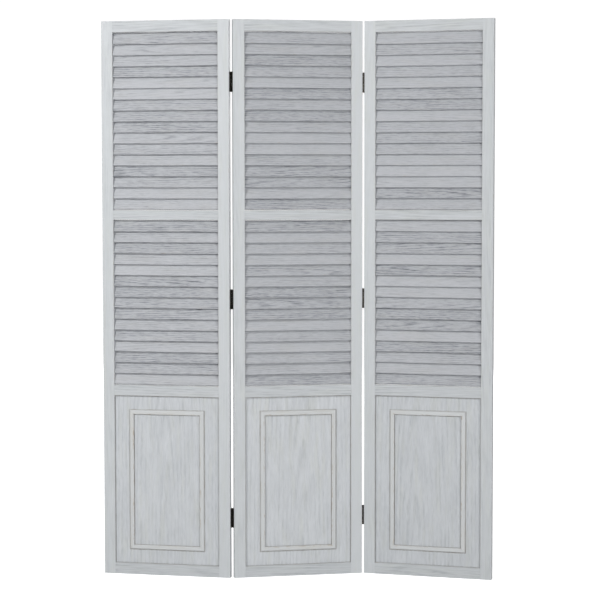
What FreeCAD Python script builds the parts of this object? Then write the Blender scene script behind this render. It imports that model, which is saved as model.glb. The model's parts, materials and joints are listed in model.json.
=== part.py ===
"""Folding room divider screen: three framed louvre panels joined by two rows of butt hinges.

Millimetres and degrees. +X runs to the right along the screen, +Y away from its front, +Z up.
The origin is on the floor, at the middle of the footprint's bounding box.

Each panel is first built flat in its own frame: X from its left edge, Y from its front face to its
back face, Z from the floor. It is then turned and moved to where it stands in the zigzag.
"""
import FreeCAD, Part
import math
import os

# --- panel ---
PANEL_WIDTH = 400.0
PANEL_HEIGHT = 1700.0
PANEL_THICKNESS = 20.0
STILE_WIDTH = 35.0
TOP_RAIL_HEIGHT = 35.0
UPPER_MID_RAIL_HEIGHT = 30.0
LOWER_MID_RAIL_HEIGHT = 34.0
BOTTOM_RAIL_HEIGHT = 35.0
ARRIS_RADIUS = 0.8

# --- louvre slats ---
UPPER_SLAT_COUNT = 16
LOWER_SLAT_COUNT = 15
SLAT_PITCH = 33.5
SLAT_OVERLAP = 3.5
SLAT_THICKNESS = 6.0
SLAT_INSET = 1.5
SLAT_EDGE_RADIUS = 2.0
SLAT_HOUSING_DEPTH = 5.0
SLAT_SIDE_CLEARANCE = 0.15
SLAT_RAIL_GAP = 0.25
STEEPEST_SLAT_TILT = 80.0
TILT_HALVINGS = 60

# --- board and the moulding planted on both of its faces ---
BOARD_THICKNESS = 8.0
BOARD_GROOVE_DEPTH = 6.0
BOARD_EXPANSION_GAP = 1.0
MOULDING_WIDTH = 14.0
MOULDING_RISE = 5.0
MOULDING_EDGE_RADIUS = 1.5
MOULDING_SIDE_MARGIN = 46.5
MOULDING_END_MARGIN = 43.0

# --- dowels between rails and stiles ---
DOWEL_RADIUS = 3.0
DOWEL_LENGTH = 30.0
DOWEL_SPACING = 13.0
DOWEL_SIDE_CLEARANCE = 0.1
DOWEL_END_CLEARANCE = 1.0

# --- hinges ---
SEAM_GAP = 5.0
HINGE_AXIS_PROUD = 1.25
LEAF_HEIGHT = 60.0
LEAF_WIDTH = 12.0
LEAF_THICKNESS = 1.2
LEAF_CORNER_RADIUS = 2.0
KNUCKLE_COUNT = 5
KNUCKLE_END_GAP = 0.4
KNUCKLE_SIDE_GAP = 0.4
PIN_RADIUS = 1.2
PIN_RUNNING_CLEARANCE = 0.05
PIN_HEAD_RADIUS = 1.9
PIN_HEAD_RISE = 0.8
HINGE_FROM_FOOT = 183.0
HINGE_FROM_TOP = 187.0
MIDDLE_HINGE_RISE = 4.0

# --- hinge screws ---
SCREWS_PER_LEAF = 3
SCREW_SPACING = 20.0
SCREW_SHANK_RADIUS = 1.25
SCREW_HEAD_RADIUS = 2.4
SCREW_LENGTH = 16.0
SCREW_TIP_LENGTH = 4.0
SCREW_TIP_RADIUS = 0.2
SCREW_CLEARANCE = 0.05
SCREW_RECESS_WIDTH = 0.6
SCREW_RECESS_LENGTH = 2.8
SCREW_RECESS_DEPTH = 0.7

# --- how the screen stands ---
CENTRE_TURN = 10.9
LEFT_FOLD = 22.5
RIGHT_FOLD = 26.9

# --- sizes that follow from the ones above ---
OPENING_WIDTH = PANEL_WIDTH - 2 * STILE_WIDTH
SLAT_RISE = SLAT_PITCH + SLAT_OVERLAP
SLAT_DEPTH = PANEL_THICKNESS - 2 * SLAT_INSET
UPPER_LOUVRE_HEIGHT = (UPPER_SLAT_COUNT - 1) * SLAT_PITCH + SLAT_RISE + 2 * SLAT_RAIL_GAP
LOWER_LOUVRE_HEIGHT = (LOWER_SLAT_COUNT - 1) * SLAT_PITCH + SLAT_RISE + 2 * SLAT_RAIL_GAP

TOP_RAIL_Z = PANEL_HEIGHT - TOP_RAIL_HEIGHT
UPPER_LOUVRE_Z = TOP_RAIL_Z - UPPER_LOUVRE_HEIGHT
UPPER_MID_RAIL_Z = UPPER_LOUVRE_Z - UPPER_MID_RAIL_HEIGHT
LOWER_LOUVRE_Z = UPPER_MID_RAIL_Z - LOWER_LOUVRE_HEIGHT
LOWER_MID_RAIL_Z = LOWER_LOUVRE_Z - LOWER_MID_RAIL_HEIGHT
BOARD_OPENING_Z = BOTTOM_RAIL_HEIGHT
BOARD_OPENING_HEIGHT = LOWER_MID_RAIL_Z - BOARD_OPENING_Z
BOARD_RECESS = (PANEL_THICKNESS - BOARD_THICKNESS) / 2

BARREL_RADIUS = SEAM_GAP / 2
KNUCKLE_HEIGHT = (LEAF_HEIGHT - (KNUCKLE_COUNT - 1) * KNUCKLE_END_GAP) / KNUCKLE_COUNT
BORE_RADIUS = PIN_RADIUS + PIN_RUNNING_CLEARANCE
HINGE_HEIGHTS = {
    "bottom": HINGE_FROM_FOOT,
    "middle": PANEL_HEIGHT / 2 + MIDDLE_HINGE_RISE,
    "top": PANEL_HEIGHT - HINGE_FROM_TOP,
}

X_AXIS = FreeCAD.Vector(1, 0, 0)
Y_AXIS = FreeCAD.Vector(0, 1, 0)
Z_AXIS = FreeCAD.Vector(0, 0, 1)
ORIGIN = FreeCAD.Vector(0, 0, 0)
PARALLEL_TOLERANCE = 1e-6


def block(x, y, z, width, depth, height):
    """Return a box with its low corner at x, y, z."""
    return Part.makeBox(width, depth, height, FreeCAD.Vector(x, y, z))


def edges_along(shape, direction):
    """Return the straight edges of a box that run along one direction."""
    found = []
    for edge in shape.Edges:
        if edge.tangentAt(edge.FirstParameter).cross(direction).Length < PARALLEL_TOLERANCE:
            found.append(edge)
    return found


def moved(shape, x, y, z):
    """Return a copy of a shape moved by x, y, z."""
    copy = shape.copy()
    copy.translate(FreeCAD.Vector(x, y, z))
    return copy


def turned(shape, direction, degrees):
    """Return a copy of a shape turned about a line through the origin."""
    copy = shape.copy()
    copy.rotate(ORIGIN, direction, degrees)
    return copy


# --- the wooden pieces of one panel, in the panel's own frame ---

def slat_tilt_and_width():
    """Return the tilt from upright, in degrees, and the width of a slat that fills its space.

    A flat slat of the given thickness, leaning back by the tilt, must be SLAT_DEPTH deep and
    SLAT_RISE high over its corners. The tilt is found by halving an interval.
    """
    low = 0.0
    high = math.radians(STEEPEST_SLAT_TILT)
    for _ in range(TILT_HALVINGS):
        tilt = (low + high) / 2
        width = (SLAT_RISE - SLAT_THICKNESS * math.sin(tilt)) / math.cos(tilt)
        if width * math.sin(tilt) + SLAT_THICKNESS * math.cos(tilt) > SLAT_DEPTH:
            high = tilt
        else:
            low = tilt
    return math.degrees(tilt), width


def slat_blank(clearance):
    """Return one slat that leans back, with its middle at the frame's origin.

    clearance grows the section on every side. The slat runs along X, from housing to housing.
    """
    tilt, width = slat_tilt_and_width()
    length = OPENING_WIDTH + 2 * SLAT_HOUSING_DEPTH
    thickness = SLAT_THICKNESS + 2 * clearance
    height = width + 2 * clearance
    flat = block(-length / 2, -thickness / 2, -height / 2, length, thickness, height)
    rounded = flat.makeFillet(SLAT_EDGE_RADIUS + clearance, edges_along(flat, X_AXIS))
    return turned(rounded, X_AXIS, -tilt)


def slat_stack(base_z, count, clearance):
    """Return the slats of one louvre opening, lowest first."""
    blank = slat_blank(clearance)
    first = base_z + SLAT_RAIL_GAP + SLAT_RISE / 2
    return [
        moved(blank, PANEL_WIDTH / 2, PANEL_THICKNESS / 2, first + index * SLAT_PITCH)
        for index in range(count)
    ]


def board_blank(gap):
    """Return the board with its edges in the grooves, or the space it needs there.

    gap is what the board stays short of the groove's bottom at both sides and at the top.
    """
    reach = BOARD_GROOVE_DEPTH - gap
    return block(
        STILE_WIDTH - reach,
        BOARD_RECESS,
        BOARD_OPENING_Z - BOARD_GROOVE_DEPTH,
        OPENING_WIDTH + 2 * reach,
        BOARD_THICKNESS,
        BOARD_OPENING_HEIGHT + BOARD_GROOVE_DEPTH + reach,
    )


def moulding_strip(run):
    """Return a strip mitred at both ends, along X, with its outer edge on Z = 0.

    run is its outer length. It lies on the plane Y = 0 and rises towards -Y.
    """
    outline = Part.makePolygon([
        FreeCAD.Vector(-run / 2, 0, 0),
        FreeCAD.Vector(run / 2, 0, 0),
        FreeCAD.Vector(run / 2 - MOULDING_WIDTH, 0, MOULDING_WIDTH),
        FreeCAD.Vector(-run / 2 + MOULDING_WIDTH, 0, MOULDING_WIDTH),
        FreeCAD.Vector(-run / 2, 0, 0),
    ])
    strip = Part.Face(outline).extrude(FreeCAD.Vector(0, -MOULDING_RISE, 0))
    raised = [
        edge for edge in edges_along(strip, X_AXIS)
        if edge.CenterOfMass.y < -MOULDING_RISE / 2
    ]
    return strip.makeFillet(MOULDING_EDGE_RADIUS, raised)


def moulding_frame():
    """Return the four mitred strips of the moulding on the board's front face."""
    across = OPENING_WIDTH - 2 * MOULDING_SIDE_MARGIN
    upright = BOARD_OPENING_HEIGHT - 2 * MOULDING_END_MARGIN
    middle_z = BOARD_OPENING_Z + BOARD_OPENING_HEIGHT / 2
    strips = []
    for quarter in range(4):
        run = across if quarter % 2 == 0 else upright
        reach = upright / 2 if quarter % 2 == 0 else across / 2
        strip = moved(moulding_strip(run), 0, 0, -reach)
        strip = turned(strip, Y_AXIS, 90 * quarter)
        strips.append(moved(strip, PANEL_WIDTH / 2, BOARD_RECESS, middle_z))
    return strips


def mirrored_to_back(shape):
    """Return a copy of a shape mirrored from a panel's front half to its back half."""
    return shape.mirror(FreeCAD.Vector(0, PANEL_THICKNESS / 2, 0), Y_AXIS)


def rail_spans():
    """Return each rail's name with its low Z, its height and the middle of its ungrooved part."""
    groove = BOARD_GROOVE_DEPTH
    return {
        "bottom_rail": (0.0, BOTTOM_RAIL_HEIGHT, (BOTTOM_RAIL_HEIGHT - groove) / 2),
        "lower_mid_rail": (
            LOWER_MID_RAIL_Z,
            LOWER_MID_RAIL_HEIGHT,
            LOWER_MID_RAIL_Z + (LOWER_MID_RAIL_HEIGHT + groove) / 2,
        ),
        "upper_mid_rail": (
            UPPER_MID_RAIL_Z,
            UPPER_MID_RAIL_HEIGHT,
            UPPER_MID_RAIL_Z + UPPER_MID_RAIL_HEIGHT / 2,
        ),
        "top_rail": (TOP_RAIL_Z, TOP_RAIL_HEIGHT, TOP_RAIL_Z + TOP_RAIL_HEIGHT / 2),
    }


def dowel_rods(radius, length):
    """Return a rod of the given radius and length across every joint of rail and stile."""
    rods = []
    for _, _, middle_z in rail_spans().values():
        for joint_x in (STILE_WIDTH, PANEL_WIDTH - STILE_WIDTH):
            for side in (-1, 1):
                start = FreeCAD.Vector(
                    joint_x - length / 2,
                    PANEL_THICKNESS / 2,
                    middle_z + side * DOWEL_SPACING / 2,
                )
                rods.append(Part.makeCylinder(radius, length, start, X_AXIS))
    return rods


def rail(base_z, height):
    """Return one plain rail between the stiles, with its long edges eased."""
    blank = block(STILE_WIDTH, 0, base_z, OPENING_WIDTH, PANEL_THICKNESS, height)
    return blank.makeFillet(ARRIS_RADIUS, edges_along(blank, X_AXIS))


def stile(left_x):
    """Return one plain stile, with all its edges eased."""
    blank = block(left_x, 0, 0, STILE_WIDTH, PANEL_THICKNESS, PANEL_HEIGHT)
    return blank.makeFillet(ARRIS_RADIUS, blank.Edges)


def panel_pieces(pilot_holes):
    """Return the wooden pieces of one panel as a dictionary of name to solids.

    pilot_holes are the rods, in the panel's frame, that the hinge screws need.
    """
    upper = slat_stack(UPPER_LOUVRE_Z, UPPER_SLAT_COUNT, 0.0)
    lower = slat_stack(LOWER_LOUVRE_Z, LOWER_SLAT_COUNT, 0.0)
    housings = slat_stack(UPPER_LOUVRE_Z, UPPER_SLAT_COUNT, SLAT_SIDE_CLEARANCE)
    housings += slat_stack(LOWER_LOUVRE_Z, LOWER_SLAT_COUNT, SLAT_SIDE_CLEARANCE)
    board_space = board_blank(0.0)
    dowel_holes = dowel_rods(
        DOWEL_RADIUS + DOWEL_SIDE_CLEARANCE,
        DOWEL_LENGTH + 2 * DOWEL_END_CLEARANCE,
    )
    front_moulding = moulding_frame()

    pieces = {}
    for name, left_x in (("left_stile", 0.0), ("right_stile", PANEL_WIDTH - STILE_WIDTH)):
        tools = Part.Compound([board_space] + housings + dowel_holes + pilot_holes)
        pieces[name] = [stile(left_x).cut(tools)]
    for name, (base_z, height, _) in rail_spans().items():
        tools = Part.Compound([board_space] + dowel_holes)
        pieces[name] = [rail(base_z, height).cut(tools)]
    pieces["upper_slats"] = upper
    pieces["lower_slats"] = lower
    pieces["board"] = [board_blank(BOARD_EXPANSION_GAP)]
    pieces["front_moulding"] = front_moulding
    pieces["back_moulding"] = [mirrored_to_back(strip) for strip in front_moulding]
    pieces["dowels"] = dowel_rods(DOWEL_RADIUS, DOWEL_LENGTH)
    return pieces


# --- hinge pieces, in the hinge's own frame ---
# The pin's axis is the Z axis and Z = 0 is the hinge's mid-height. The panel that a leaf is
# screwed to is at X > SEAM_GAP / 2, and its near face is at Y = -HINGE_AXIS_PROUD.

def knuckle_base(index):
    """Return the low Z of one knuckle, counted from the bottom."""
    return -LEAF_HEIGHT / 2 + index * (KNUCKLE_HEIGHT + KNUCKLE_END_GAP)


def screw_heights():
    """Return the Z of each screw in a leaf."""
    return [(index - (SCREWS_PER_LEAF - 1) / 2) * SCREW_SPACING for index in range(SCREWS_PER_LEAF)]


def screw_axis_y():
    """Return the Y of the screws: the middle of the leaf's flat."""
    return -HINGE_AXIS_PROUD - LEAF_WIDTH / 2


def screw_head_cone(clearance):
    """Return a countersunk head that fills the leaf's thickness, pointing along +X."""
    return Part.makeCone(
        SCREW_HEAD_RADIUS + clearance,
        SCREW_SHANK_RADIUS + clearance,
        LEAF_THICKNESS,
        FreeCAD.Vector(SEAM_GAP / 2 - LEAF_THICKNESS, screw_axis_y(), 0),
        X_AXIS,
    )


def screw():
    """Return one countersunk cross-recess screw at Z = 0, driven along +X."""
    root = FreeCAD.Vector(SEAM_GAP / 2, screw_axis_y(), 0)
    straight = SCREW_LENGTH - SCREW_TIP_LENGTH
    shank = Part.makeCylinder(SCREW_SHANK_RADIUS, straight, root, X_AXIS)
    tip_root = root + X_AXIS * straight
    tip = Part.makeCone(SCREW_SHANK_RADIUS, SCREW_TIP_RADIUS, SCREW_TIP_LENGTH, tip_root, X_AXIS)
    face_x = SEAM_GAP / 2 - LEAF_THICKNESS
    across = SCREW_RECESS_LENGTH / 2
    thin = SCREW_RECESS_WIDTH / 2
    flat_slot = block(face_x, screw_axis_y() - across, -thin, SCREW_RECESS_DEPTH, 2 * across, 2 * thin)
    tall_slot = block(face_x, screw_axis_y() - thin, -across, SCREW_RECESS_DEPTH, 2 * thin, 2 * across)
    return screw_head_cone(0.0).fuse([shank, tip]).cut(Part.Compound([flat_slot, tall_slot]))


def leaf_screws():
    """Return the screws of one leaf."""
    return [moved(screw(), 0, 0, height) for height in screw_heights()]


def leaf_pilot_holes():
    """Return the rods that the screws of one leaf need in the stile."""
    radius = SCREW_SHANK_RADIUS + SCREW_CLEARANCE
    rods = []
    for height in screw_heights():
        root = FreeCAD.Vector(SEAM_GAP / 2, screw_axis_y(), height)
        rods.append(Part.makeCylinder(radius, SCREW_LENGTH + SCREW_CLEARANCE, root, X_AXIS))
    return rods


def leaf(first_knuckle):
    """Return one hinge leaf with every other knuckle, counted from first_knuckle."""
    inner_x = SEAM_GAP / 2 - LEAF_THICKNESS
    far_y = -HINGE_AXIS_PROUD - LEAF_WIDTH
    plate = block(inner_x, far_y, -LEAF_HEIGHT / 2, LEAF_THICKNESS, -far_y, LEAF_HEIGHT)
    free_corners = [
        edge for edge in edges_along(plate, X_AXIS)
        if edge.CenterOfMass.y < far_y / 2
    ]
    plate = plate.makeFillet(LEAF_CORNER_RADIUS, free_corners)
    barrels = []
    clearings = []
    for index in range(KNUCKLE_COUNT):
        base = FreeCAD.Vector(0, 0, knuckle_base(index))
        if index % 2 == first_knuckle:
            barrels.append(Part.makeCylinder(BARREL_RADIUS, KNUCKLE_HEIGHT, base))
        else:
            base.z -= KNUCKLE_END_GAP
            sweep = BARREL_RADIUS + KNUCKLE_SIDE_GAP
            clearings.append(Part.makeCylinder(sweep, KNUCKLE_HEIGHT + 2 * KNUCKLE_END_GAP, base))
    bore_base = FreeCAD.Vector(0, 0, -LEAF_HEIGHT / 2)
    bore = Part.makeCylinder(BORE_RADIUS, LEAF_HEIGHT, bore_base)
    holes = [moved(screw_head_cone(SCREW_CLEARANCE), 0, 0, height) for height in screw_heights()]
    cleared = plate.cut(Part.Compound(clearings))
    return cleared.fuse(barrels).removeSplitter().cut(Part.Compound([bore] + holes))


def hinge_pin():
    """Return the pin with its two riveted heads."""
    base = FreeCAD.Vector(0, 0, -LEAF_HEIGHT / 2)
    rod = Part.makeCylinder(PIN_RADIUS, LEAF_HEIGHT, base)
    head = Part.makeCone(PIN_HEAD_RADIUS, PIN_RADIUS, PIN_HEAD_RISE, FreeCAD.Vector(0, 0, LEAF_HEIGHT / 2))
    foot = head.mirror(ORIGIN, Z_AXIS)
    return rod.fuse([head, foot])


# --- how each leaf sits on its panel ---
# Each place is the pin's axis in the panel's frame and how the hinge's own frame is turned there.

BACK_AXIS_Y = PANEL_THICKNESS + HINGE_AXIS_PROUD
FRONT_AXIS_Y = -HINGE_AXIS_PROUD
LEFT_EDGE_AXIS_X = -SEAM_GAP / 2
RIGHT_EDGE_AXIS_X = PANEL_WIDTH + SEAM_GAP / 2


def on_left_edge_back(shape):
    """Put a hinge piece on a panel's left edge, with the barrel behind it."""
    return moved(shape, LEFT_EDGE_AXIS_X, BACK_AXIS_Y, 0)


def on_right_edge_back(shape):
    """Put a hinge piece on a panel's right edge, with the barrel behind it."""
    return moved(shape.mirror(ORIGIN, X_AXIS), RIGHT_EDGE_AXIS_X, BACK_AXIS_Y, 0)


def on_right_edge_front(shape):
    """Put a hinge piece on a panel's right edge, with the barrel in front of it."""
    return moved(turned(shape, Z_AXIS, 180), RIGHT_EDGE_AXIS_X, FRONT_AXIS_Y, 0)


def on_left_edge_front(shape):
    """Put a hinge piece on a panel's left edge, with the barrel in front of it."""
    return moved(shape.mirror(ORIGIN, Y_AXIS), LEFT_EDGE_AXIS_X, FRONT_AXIS_Y, 0)


def at_hinge_heights(shapes, place):
    """Return placed copies of some hinge pieces at every hinge's height."""
    return [moved(place(shape), 0, 0, height) for height in HINGE_HEIGHTS.values() for shape in shapes]


# --- where each panel stands, before the whole is centred on its footprint ---

def seam_point(axis_x, axis_y, degrees):
    """Return a point of a panel's frame in the common frame, for a panel turned about Z."""
    turn = FreeCAD.Rotation(Z_AXIS, degrees)
    return turn.multVec(FreeCAD.Vector(axis_x, axis_y, 0))


def panel_placements():
    """Return each panel's placement and the two seam axes, with the centre panel at the origin."""
    left_turn = CENTRE_TURN - LEFT_FOLD
    right_turn = CENTRE_TURN - RIGHT_FOLD
    left_seam = seam_point(LEFT_EDGE_AXIS_X, BACK_AXIS_Y, CENTRE_TURN)
    right_seam = seam_point(RIGHT_EDGE_AXIS_X, FRONT_AXIS_Y, CENTRE_TURN)
    left_origin = left_seam - seam_point(RIGHT_EDGE_AXIS_X, BACK_AXIS_Y, left_turn)
    right_origin = right_seam - seam_point(LEFT_EDGE_AXIS_X, FRONT_AXIS_Y, right_turn)
    placements = {
        "centre": FreeCAD.Placement(ORIGIN, FreeCAD.Rotation(Z_AXIS, CENTRE_TURN)),
        "left": FreeCAD.Placement(left_origin, FreeCAD.Rotation(Z_AXIS, left_turn)),
        "right": FreeCAD.Placement(right_origin, FreeCAD.Rotation(Z_AXIS, right_turn)),
    }
    return placements, {"left": left_seam, "right": right_seam}


def placed(solids, placement):
    """Return solids moved from a panel's frame into the common frame."""
    result = []
    for solid in solids:
        copy = solid.copy()
        copy.Placement = placement.multiply(copy.Placement)
        result.append(copy)
    return result


def build_nodes():
    """Return every node's solids by name, and the two seam axes, before centring."""
    placements, seams = panel_placements()
    pilots = leaf_pilot_holes()
    pilot_holes = {
        "left": at_hinge_heights(pilots, on_right_edge_back),
        "centre": at_hinge_heights(pilots, on_left_edge_back) + at_hinge_heights(pilots, on_right_edge_front),
        "right": at_hinge_heights(pilots, on_left_edge_front),
    }
    nodes = {}
    for panel, placement in placements.items():
        for name, solids in panel_pieces(pilot_holes[panel]).items():
            nodes[f"{panel}_panel_{name}"] = placed(solids, placement)

    centre_leaf = leaf(0)
    side_leaf = leaf(1)
    pin = hinge_pin()
    screws = leaf_screws()
    sides = {
        "left": (on_left_edge_back, on_right_edge_back),
        "right": (on_right_edge_front, on_left_edge_front),
    }
    for side, (on_centre, on_side) in sides.items():
        for level, height in HINGE_HEIGHTS.items():
            prefix = f"{side}_hinge_{level}"
            on_middle = placements["centre"]
            nodes[f"{prefix}_centre_leaf"] = placed([moved(on_centre(centre_leaf), 0, 0, height)], on_middle)
            nodes[f"{prefix}_pin"] = placed([moved(on_centre(pin), 0, 0, height)], on_middle)
            nodes[f"{prefix}_side_leaf"] = placed([moved(on_side(side_leaf), 0, 0, height)], placements[side])
        nodes[f"{side}_hinge_centre_screws"] = placed(at_hinge_heights(screws, on_centre), placements["centre"])
        nodes[f"{side}_hinge_side_screws"] = placed(at_hinge_heights(screws, on_side), placements[side])
    return nodes, seams, placements


def main():
    """Build every node, centre the screen on its footprint and write one STEP file per node."""
    nodes, seams, placements = build_nodes()
    whole = Part.Compound([solid for solids in nodes.values() for solid in solids])
    box = whole.BoundBox
    shift = FreeCAD.Vector(-(box.XMin + box.XMax) / 2, -(box.YMin + box.YMax) / 2, -box.ZMin)
    os.makedirs("parts", exist_ok=True)
    for name, solids in nodes.items():
        shape = solids[0] if len(solids) == 1 else Part.Compound(solids)
        shape = moved(shape, shift.x, shift.y, shift.z)
        for solid in shape.Solids:
            if not solid.isValid():
                print(f"{name}: a solid is not valid")
        shape.exportStep(f"parts/{name}.step")
    for name, point in seams.items():
        print(f"{name} seam axis at x {point.x + shift.x:.4f}, y {point.y + shift.y:.4f}")
    for name, placement in placements.items():
        middle = FreeCAD.Vector(PANEL_WIDTH / 2, PANEL_THICKNESS / 2, 0)
        base = placement.multVec(middle) + shift
        print(f"{name} panel base middle at x {base.x:.4f}, y {base.y:.4f}")
    tilt, width = slat_tilt_and_width()
    print(f"slat tilt {tilt:.3f} degrees, slat width {width:.3f}")
    print(f"{len(nodes)} nodes, box {box.XLength:.2f} x {box.YLength:.2f} x {box.ZLength:.2f}")


main()
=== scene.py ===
"""Looks of a three-panel louvred folding screen: whitewashed wood, dark butt hinges, soft studio."""

from __future__ import annotations

import json
import logging
import math
from dataclasses import dataclass
from dataclasses import replace
from enum import Enum
from functools import cached_property

import bpy
import numpy as np
from mathutils import Matrix
from mathutils import Vector


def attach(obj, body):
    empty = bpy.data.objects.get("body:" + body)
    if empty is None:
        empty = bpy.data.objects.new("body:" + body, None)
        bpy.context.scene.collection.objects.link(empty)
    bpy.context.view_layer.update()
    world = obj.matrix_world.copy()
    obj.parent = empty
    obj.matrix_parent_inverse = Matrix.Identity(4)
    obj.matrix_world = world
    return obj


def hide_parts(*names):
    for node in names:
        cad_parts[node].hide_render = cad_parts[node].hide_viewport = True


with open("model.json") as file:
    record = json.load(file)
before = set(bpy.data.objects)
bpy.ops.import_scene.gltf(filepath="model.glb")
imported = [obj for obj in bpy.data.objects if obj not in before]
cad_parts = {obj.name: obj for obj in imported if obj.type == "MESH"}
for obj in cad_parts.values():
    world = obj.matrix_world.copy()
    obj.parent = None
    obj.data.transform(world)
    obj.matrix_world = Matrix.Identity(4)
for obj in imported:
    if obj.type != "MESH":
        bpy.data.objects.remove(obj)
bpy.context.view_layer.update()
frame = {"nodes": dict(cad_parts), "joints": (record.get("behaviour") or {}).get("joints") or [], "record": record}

MILLIMETRE = 0.001
# The wave texture turns by 20 radians for each unit of its vector.
WAVE_TURNS_PER_UNIT = 20.0 / (2.0 * math.pi)
# A rounding keeps this share of its radius however far it is drawn in.
LEAST_ROUNDING = 0.1
# The last ring on an eased end lies in by this share of the margin.
FACE_RING = 0.8
# Stops on a flat keep this share of the margin from the last one.
CLOSEST_STOP = 0.2
log = logging.getLogger("folding_screen")

Array = np.ndarray
Colour = tuple[float, float, float]
Socket = bpy.types.NodeSocket


class Lie(Enum):
    """How a length of wood lies in its panel."""

    UPRIGHT = "upright"
    LEVEL = "level"


class Face(Enum):
    """A face of a panel, as a sign along the panel's depth."""

    FRONT = -1
    BACK = 1


@dataclass
class Shell:
    """One closed surface with its faces and the values that its finish reads.

    Fields:
        points: (n, 3) places in metres.
        quads: (m, 4) corner numbers, outward.
        smooth: (m,) True where a four-sided face belongs to a rounding.
        caps: (k, c) corner numbers of the flat end faces.
        wood: (n, 3) place in the plank's own grain, in metres.
        arris: (n,) 1 on a rounded edge, 0 on a flat.
        glaze_and_shade: (n,) 1 where brown glaze has gathered and painted shade darkens a crevice, 0 elsewhere.
        tone: (n,) how light this length of wood is, -1 to 1.
    """

    points: Array
    quads: Array
    smooth: Array
    caps: Array
    wood: Array
    arris: Array
    glaze_and_shade: Array
    tone: Array

    def placed(self, spot: "Spot") -> "Shell":
        """Return this shell with its points moved from its own axes to a spot in the panel."""
        return replace(self, points=spot.origin + self.points @ spot.axes)


@dataclass(frozen=True)
class Spot:
    """Where a length of wood sits in its panel.

    Fields:
        origin: the middle of the wood, in the panel's axes.
        axes: rows are the directions along, across and out towards the front of the wood.
    """

    origin: Array
    axes: Array


@dataclass(frozen=True)
class Loop:
    """The outline of a section, counter-clockwise, split into a core and a rounding.

    Fields:
        core: (n, 2) centre of the rounding under each point.
        outward: (n, 2) unit direction from the core to the point.
        radius: the rounding's radius in metres.
        rounded: (n,) True on a rounded corner.
    """

    core: Array
    outward: Array
    radius: float
    rounded: Array

    def points(self, inset: float = 0.0) -> Array:
        """Return the outline drawn in from the surface.

        The first nine tenths of the radius come off the rounding itself, and the rest moves the
        centres of the rounding inwards, so that the corners never fold over.

        Args:
            inset: distance inside the surface, in metres.

        Returns:
            (n, 2) points of the outline.
        """
        kept = max(self.radius - inset, LEAST_ROUNDING * self.radius)
        drawn = inset - (self.radius - kept)
        limit = np.abs(self.core).max(axis=0) - drawn
        return np.clip(self.core, -limit, limit) + kept * self.outward


def section_loop(
    across: float,
    depth: float,
    radius: float,
    across_stops: Array,
    depth_stops: Array,
    steps: int = 3,
) -> Loop:
    """Return a rectangle with rounded corners as a loop.

    Corner q turns from q to q + 1 right angles about its own centre; the stops are the extra
    points on the flats between the corners.

    Args:
        across: width of the section.
        depth: thickness of the section.
        radius: rounding of the four corners.
        across_stops: rising places of the points on the two wide flats.
        depth_stops: rising places of the points on the two narrow flats.
        steps: faces in each rounded corner.

    Returns:
        The loop, counter-clockwise.
    """
    half_across = across / 2 - radius
    half_depth = depth / 2 - radius
    turn = np.linspace(0.0, math.pi / 2, steps + 1)
    corners = np.array([(1, 1), (-1, 1), (-1, -1), (1, -1)]) * (half_across, half_depth)
    flats = (
        np.stack([across_stops[::-1], np.full(across_stops.size, half_depth)], 1),
        np.stack([np.full(depth_stops.size, -half_across), depth_stops[::-1]], 1),
        np.stack([across_stops, np.full(across_stops.size, -half_depth)], 1),
        np.stack([np.full(depth_stops.size, half_across), depth_stops], 1),
    )
    facing = np.array([(0, 1), (-1, 0), (0, -1), (1, 0)], float)
    core: list[Array] = []
    outward: list[Array] = []
    rounded: list[Array] = []
    for quarter in range(4):
        angle = turn + quarter * math.pi / 2
        core += [np.repeat(corners[quarter : quarter + 1], turn.size, 0), flats[quarter]]
        outward += [
            np.stack([np.cos(angle), np.sin(angle)], 1),
            np.repeat(facing[quarter : quarter + 1], len(flats[quarter]), 0),
        ]
        rounded += [np.ones(turn.size, bool), np.zeros(len(flats[quarter]), bool)]
    return Loop(np.concatenate(core), np.concatenate(outward), radius, np.concatenate(rounded))


def edge_stops(size: float, radius: float, margin: float, inner: Array | None = None) -> Array:
    """Return rising places of points on a flat: one a margin inside each rounding, then any more.

    Args:
        size: the flat's width over its roundings.
        radius: the rounding.
        margin: distance from the rounding to the first point.
        inner: more places wanted between the two.

    Returns:
        Sorted places in metres from the middle of the flat.
    """
    last = size / 2 - radius - margin
    places = [-last, last]
    if inner is not None:
        places += [place for place in inner if abs(place) < last - CLOSEST_STOP * margin]
    return np.unique(np.round(places, 7))


def end_rings(
    length: float, radius: float, margin: float, middle: Array, steps: int = 3
) -> tuple[Array, Array, Array]:
    """Return the stations of a length of wood whose two ends are eased.

    On the easing, at turn a from the side, the place is the easing's centre plus radius times
    sine a, and the inset is radius times one less cosine a. One more ring lies on the end face.

    Args:
        length: the length over its ends.
        radius: the easing, or 0 for ends that are cut square.
        margin: distance from the easing to the first plain station.
        middle: rising places of the stations between.
        steps: faces in the easing.

    Returns:
        Places along, insets, and True where a station belongs to an easing.
    """
    half = length / 2
    if radius == 0.0:
        along = np.concatenate([[-half], middle, [half]])
        return along, np.zeros(along.size), np.zeros(along.size, bool)
    turn = np.linspace(0.0, math.acos(LEAST_ROUNDING), steps + 1)
    tip = half - radius + radius * np.sin(turn)
    tip = np.concatenate([tip, tip[-1:]])
    inset = np.concatenate([radius * (1 - np.cos(turn)), [FACE_RING * margin]])
    eased = np.concatenate([np.ones(steps + 1, bool), [False]])
    first = half - radius - margin
    plain = np.zeros(middle.size + 2)
    return (
        np.concatenate([-tip[::-1], [-first], middle, [first], tip]),
        np.concatenate([inset[::-1], plain, inset]),
        np.concatenate([eased[::-1], plain.astype(bool), eased]),
    )


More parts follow.
